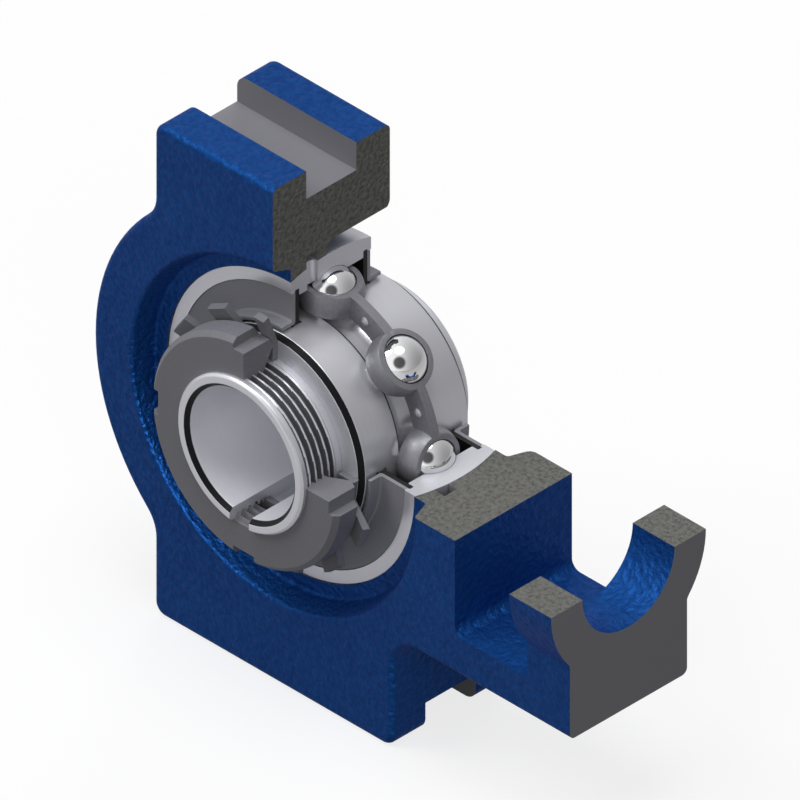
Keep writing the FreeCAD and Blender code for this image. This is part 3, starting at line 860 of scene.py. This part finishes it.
sleeve = turn_on_shaft("slit_adapter_sleeve", [
    (sleeve_front + sleeve_mouth, sleeve_bore),
    (sleeve_front, sleeve_bore + sleeve_mouth),
    (sleeve_front, thread_radius - sleeve_lead_in),
    (sleeve_front + sleeve_lead_in, thread_radius)]
    + rows_between(thread_start, thread_end, thread_radius) + [
    (cone_front, thread_radius),
    (cone_front, cone_radius(cone_front)),
    (sleeve_back - sleeve_chamfer, cone_radius(sleeve_back - sleeve_chamfer)),
    (sleeve_back, cone_radius(sleeve_back) - sleeve_chamfer),
    (sleeve_back, sleeve_bore + sleeve_chamfer),
    (sleeve_back - sleeve_chamfer, sleeve_bore)], whole_turn, sleeve_edge_break)
cut_thread(sleeve, thread_radius, thread_depth, thread_start, thread_end)
bpy.ops.mesh.primitive_cube_add(size=1, location=(0, 0, -1.5 * thread_radius),
                                scale=(2 * sleeve_slit_half, 4 * thread_radius, 2 * thread_radius))
cut_away(sleeve, bpy.context.object)
smooth(sleeve, 40)
lay_finish(sleeve, turned_steel)
# Painted light: the bore gets the paler steel, to lift the shade inside it.
lay_finish(sleeve, painted_light_bore_steel, lambda c, n: math.hypot(c.x, c.z) < sleeve_bore + on_the_plane)
# Painted shade: the thread's flanks, between crest and root, are painted darker.
lay_finish(sleeve, shaded_flanks, lambda c, n: thread_start < c.y < thread_end and abs(n.x) < square_on
           and sleeve_bore + shade_above_bore < math.hypot(c.x, c.z) < thread_radius - shade_below_crest)
# The chamfer at the bore's mouth gets the painted near-black shade too.
lay_finish(sleeve, chamfer_shade, lambda c, n: c.y < sleeve_front + sleeve_mouth
           and math.hypot(c.x, c.z) < sleeve_bore + sleeve_mouth and slants(n))
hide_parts("adapter_sleeve")
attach(sleeve, "shaft")

# Lock washer. One blanked sheet-steel washer between nut and ring, with leaning tabs round it and a tongue
# inside that sits in the sleeve's slit. It is phosphated like the nut, and sawn with it.
phosphate_deep = "#76767B"
phosphate_pale = "#86868C"
phosphate_crystal = 0.35 * mm
phosphate_height = 0.006 * mm
nut_cut_shaded_deep = "#74747A"
nut_cut_shaded_pale = "#82828A"
nut_cut_grain = 0.5 * mm
washer_edge_break = 0.1 * mm

# Manganese phosphate: a dark grey crystal skin, dull and even, that holds oil. Its crystals are drawn far
# coarser than real ones, to show.
phosphate, tree, shader = new_finish("manganese_phosphate", {
    "Metallic": 0.0, "IOR": 1.5, "Specular IOR Level": 0.3})
place = add_node(tree, "TexCoord").outputs["Object"]
crystals = add_node(tree, "TexNoise", inputs={
    "Vector": place, "Scale": 1 / phosphate_crystal}).outputs["Fac"]
dress(tree, shader, crystals, phosphate_deep, phosphate_pale, rough=(0.55, 0.45), relief=phosphate_height)

# The same steel where the saw went through it, painted a shade darker on the upright cut as the shade on
# faces that turn from the lamps.
phosphate_cut_shaded, tree, shader = new_finish("sawn_nut_steel_painted_shade", {
    "Metallic": 0.0, "IOR": 1.5, "Specular IOR Level": 0.3})
place = add_node(tree, "TexCoord").outputs["Object"]
grain = add_node(tree, "TexNoise", inputs={"Vector": place, "Scale": 1 / nut_cut_grain}).outputs["Fac"]
dress(tree, shader, grain, nut_cut_shaded_deep, nut_cut_shaded_pale, rough=(0.6, 0.5), relief=phosphate_height)

washer = copy_cad_node("lock_washer", "tab_washer")
break_edges(washer, washer_edge_break)
smooth(washer)
lay_finish(washer, phosphate)
# The upright sawn face is painted darker, as shade.
lay_finish(washer, phosphate_cut_shaded, on_upright_cut)
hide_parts("lock_washer")
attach(washer, "shaft")

# Lock nut. A round nut in phosphated steel with four slots for a hook spanner, bevelled towards the washer
# and threaded inside to match the sleeve.
nut_low, nut_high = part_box("lock_nut")
nut_front = nut_low.y
nut_back = nut_high.y
nut_radius = -nut_low.x
nut_play = 0.05 * mm
nut_bore = thread_radius + nut_play
nut_thread_depth = 0.86 * mm
nut_edge_break = 0.1 * mm
bore_tolerance = 0.02 * mm
nut_face_chamfer = 0.9 * mm
nut_seat = 19.0 * mm
nut_bevel_angle = 30
nut_bevel = math.tan(math.radians(nut_bevel_angle)) * (nut_radius - nut_seat)
nut_countersink_depth = 1.9 * mm
nut_countersink_width = 3.4 * mm
nut_slot_width = 5.0 * mm
nut_slot_depth = 2.0 * mm
nut_slot_count = 4
nut_slot_cutter_length = 1.0

nut = turn_on_shaft("round_lock_nut", [
    (nut_front, nut_radius - nut_face_chamfer),
    (nut_front + nut_face_chamfer, nut_radius),
    (nut_back - nut_bevel, nut_radius),
    (nut_back, nut_seat),
    (nut_back, nut_bore + nut_countersink_width)]
    + rows_between(nut_front, nut_back - nut_countersink_depth, nut_bore)[::-1],
    three_quarters, nut_edge_break)
cut_thread(nut, nut_bore, nut_thread_depth, nut_front, within=bore_tolerance)
for k in range(nut_slot_count):
    turned = math.tau * k / nut_slot_count
    slot_middle = nut_radius - nut_slot_depth + nut_radius / 2
    bpy.ops.mesh.primitive_cube_add(
        size=1, location=(slot_middle * math.cos(turned), 0, slot_middle * math.sin(turned)),
        rotation=(0, -turned, 0), scale=(nut_radius, nut_slot_cutter_length, nut_slot_width))
    cut_away(nut, bpy.context.object)
smooth(nut)
lay_finish(nut, phosphate)
# The upright sawn face is painted darker, as shade.
lay_finish(nut, phosphate_cut_shaded, on_upright_cut)
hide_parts("lock_nut")
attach(nut, "shaft")
